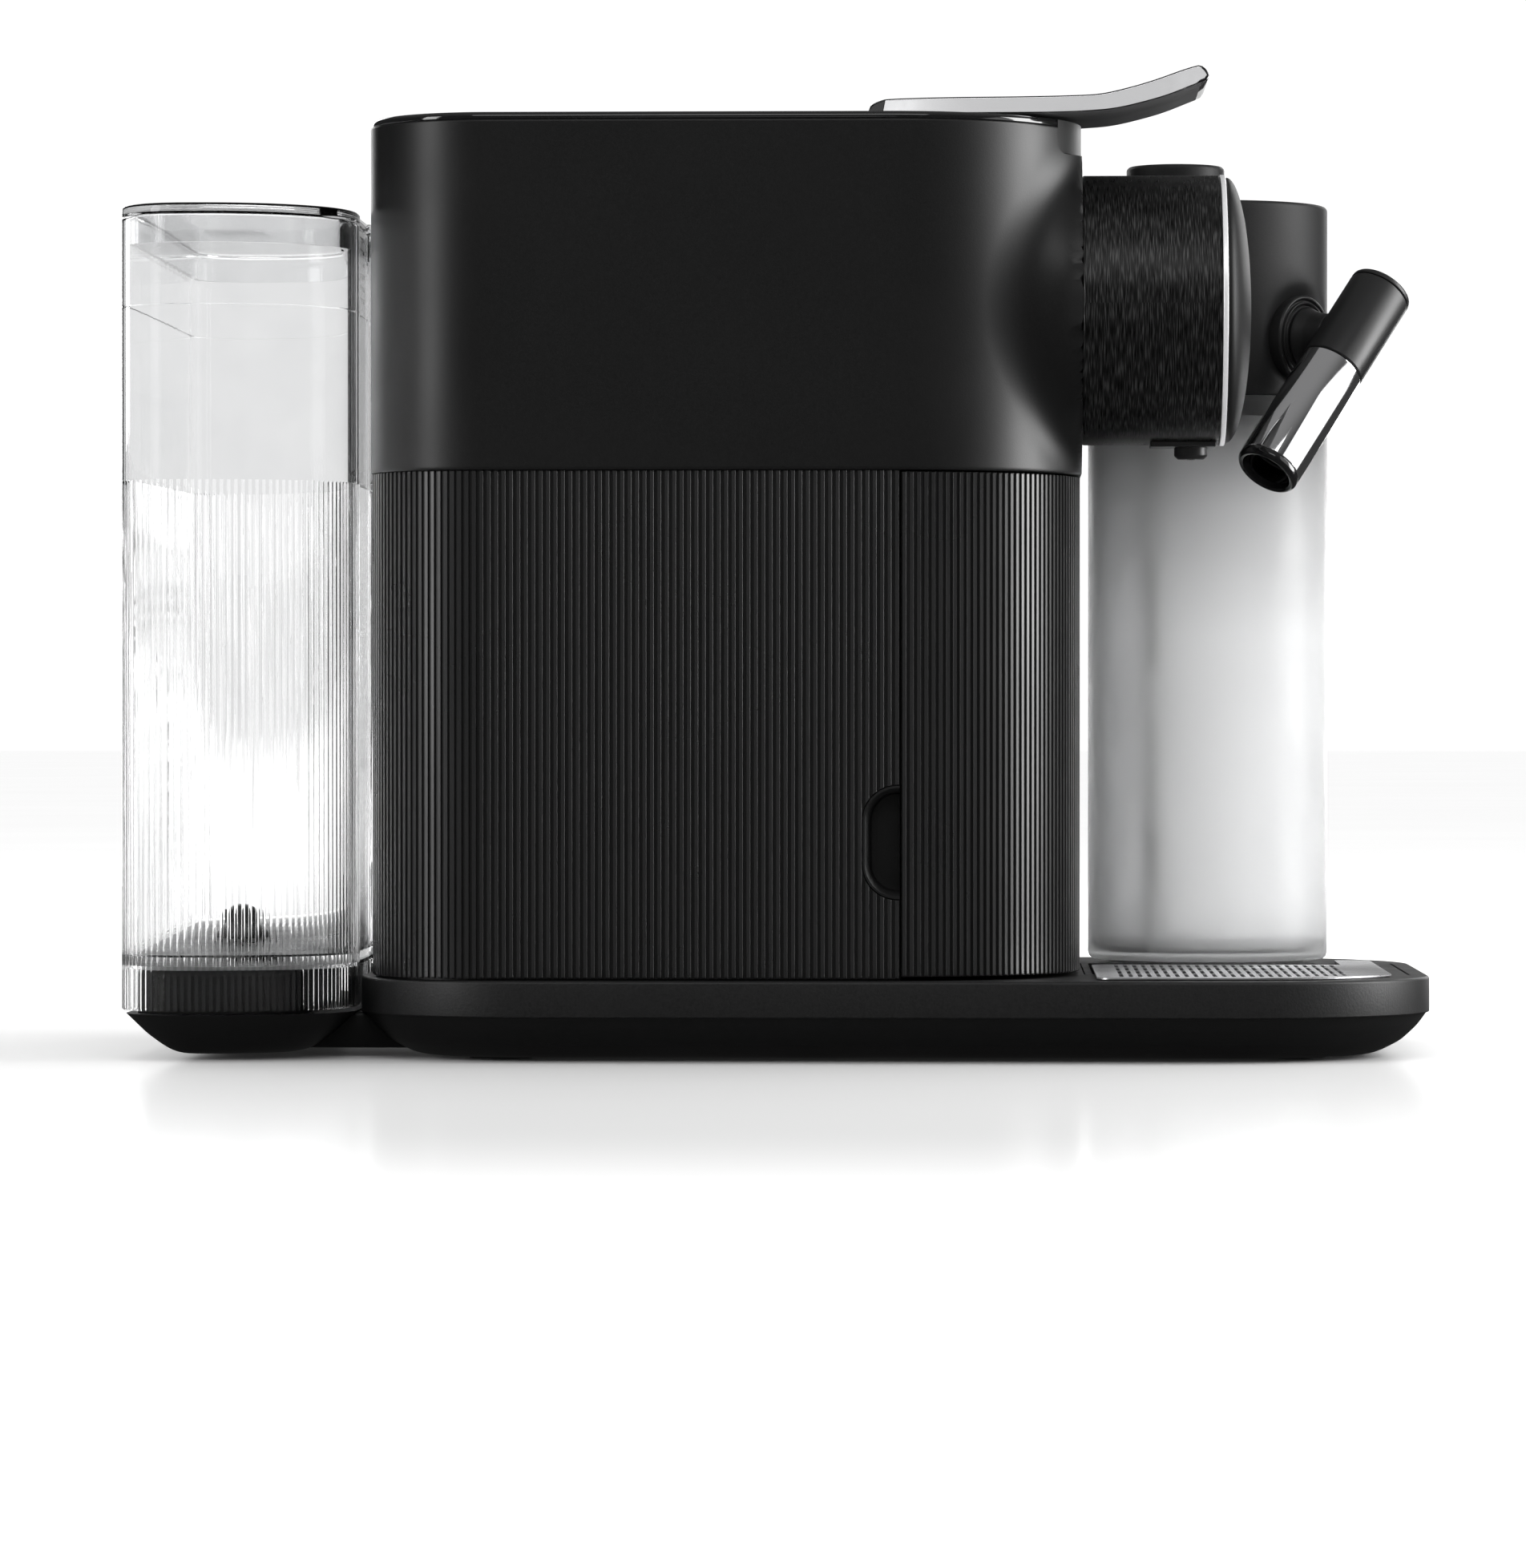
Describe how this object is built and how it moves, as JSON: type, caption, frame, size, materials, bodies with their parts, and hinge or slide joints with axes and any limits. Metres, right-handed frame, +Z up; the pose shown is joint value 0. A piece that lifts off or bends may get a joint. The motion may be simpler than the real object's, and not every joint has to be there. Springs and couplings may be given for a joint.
{
  "type": "pod coffee machine",
  "caption": "Pod coffee machine with a lever-driven brew head, lift-off ribbed water tank, capsule drawer, drip tray and docked milk frother jug with a swivelling spout.",
  "frame": {"origin": "centre of the box of the whole machine on the counter surface under its feet", "axes": "+X towards the front (spout and drip tray side), +Y towards the milk jug side, +Z up"},
  "size_m": [0.367, 0.203, 0.2773],
  "materials": {
    "shell": "satin black moulded casing",
    "deck": "fine textured black",
    "hull": "black",
    "gloss_black": "gloss black",
    "dark_insert": "matte black",
    "rubber": "matte",
    "steel": "brushed",
    "brushed_black": "black anodised, brushed round the axis",
    "chrome": "polished",
    "alu": "cast",
    "brass": "plain",
    "screw": "zinc plated",
    "pcb": "solder mask",
    "hose": "silicone",
    "white_part": "natural",
    "tank": "clear ribbed",
    "tank_lid": "smoky clear",
    "jug": "clear, lightly smoked",
    "head": "satin charcoal",
    "lever_grey": "dark grey",
    "seal_grey": "silicone"
  },
  "bodies": {
    "machine": {"base_hull": "hull", "base_deck": "deck", "rubber_feet": "rubber", "hull_screws": "screw", "tank_plinth": "dark_insert", "tank_dock_seal": "rubber", "tank_dock_pipe": "white_part", "lower_shell": "shell", "upper_shell": "shell", "tank_stop": "dark_insert", "rear_panel": "shell", "top_cover": "gloss_black", "touch_panel": "gloss_black", "slot_frame": "dark_insert", "cord_gland": "rubber", "brew_barrel": "brushed_black", "barrel_ring": "chrome", "barrel_face": "dark_insert", "coffee_outlet": "gloss_black", "milk_dock": "alu", "milk_dock_seal": "rubber", "brew_frame": "alu", "brew_plate": "steel", "thermoblock": "alu", "thermoblock_straps": "steel", "water_pump": "brass", "pump_mounts": "rubber", "flow_meter": "white_part", "control_board": "pcb", "board_posts": "dark_insert", "water_hoses": "hose", "steam_hose": "hose", "lever_pin": "steel"},
    "lever": {"lever_frame": "chrome", "lever_top": "gloss_black", "lever_underside": "lever_grey", "lever_end_cap": "gloss_black"},
    "piston": {"brew_piston": "alu", "piston_seal": "rubber"},
    "water_tank": {"tank_body": "tank", "tank_valve": "dark_insert", "tank_valve_spring": "screw"},
    "tank_cover": {"tank_lid": "tank_lid"},
    "capsule_drawer": {"drawer_front": "shell", "capsule_bin": "dark_insert"},
    "drip_tray": {"drip_pan": "deck", "drip_grid": "steel"},
    "milk_jug": {"milk_container": "jug", "milk_head": "head", "milk_nozzle": "dark_insert", "milk_suction_tube": "white_part", "container_gasket": "seal_grey", "boss_ring": "gloss_black"},
    "knob": {"froth_knob": "head"},
    "spout": {"spout_body": "gloss_black", "spout_cap": "gloss_black", "spout_inner_tube": "gloss_black"},
    "sleeve": {"spout_sleeve": "chrome", "spout_lip": "gloss_black"}
  },
  "joints": [
    {"name": "lever_hinge", "type": "hinge", "parent": "machine", "child": "lever", "pos_m": [0.031, -0.0495, 0.2605], "axis": [0, -1, 0], "range_deg": [0, 85]},
    {"name": "piston_slide", "type": "slide", "parent": "machine", "child": "piston", "axis": [-1, 0, 0], "range_m": [0, 0.0215]},
    {"name": "tank_lift", "type": "slide", "parent": "machine", "child": "water_tank", "axis": [0, 0, 1], "range_m": [0, 0.25]},
    {"name": "tank_lid_lift", "type": "slide", "parent": "water_tank", "child": "tank_cover", "axis": [0, 0, 1], "range_m": [0, 0.05]},
    {"name": "drawer_slide", "type": "slide", "parent": "machine", "child": "capsule_drawer", "axis": [1, 0, 0], "range_m": [0, 0.036]},
    {"name": "tray_slide", "type": "slide", "parent": "machine", "child": "drip_tray", "axis": [1, 0, 0], "range_m": [0, 0.1]},
    {"name": "jug_undock", "type": "slide", "parent": "machine", "child": "milk_jug", "axis": [1, 0, 0], "range_m": [0, 0.12]},
    {"name": "knob_turn", "type": "hinge", "parent": "milk_jug", "child": "knob", "pos_m": [0.1145, 0.055, 0.25], "axis": [0, 0, 1], "range_deg": [-110, 0]},
    {"name": "spout_swivel", "type": "hinge", "parent": "milk_jug", "child": "spout", "pos_m": [0.1648, 0.0193, 0.2067], "axis": [0.7771, -0.6293, 0], "range_deg": [-12, 35]},
    {"name": "sleeve_slide", "type": "slide", "parent": "spout", "child": "sleeve", "axis": [-0.487, -0.434, -0.758], "range_m": [0, 0.008]}
  ],
  "couplings": [
    {"joint": "piston_slide", "follows": "lever_hinge", "m_per_rad": 0.014478}
  ]
}
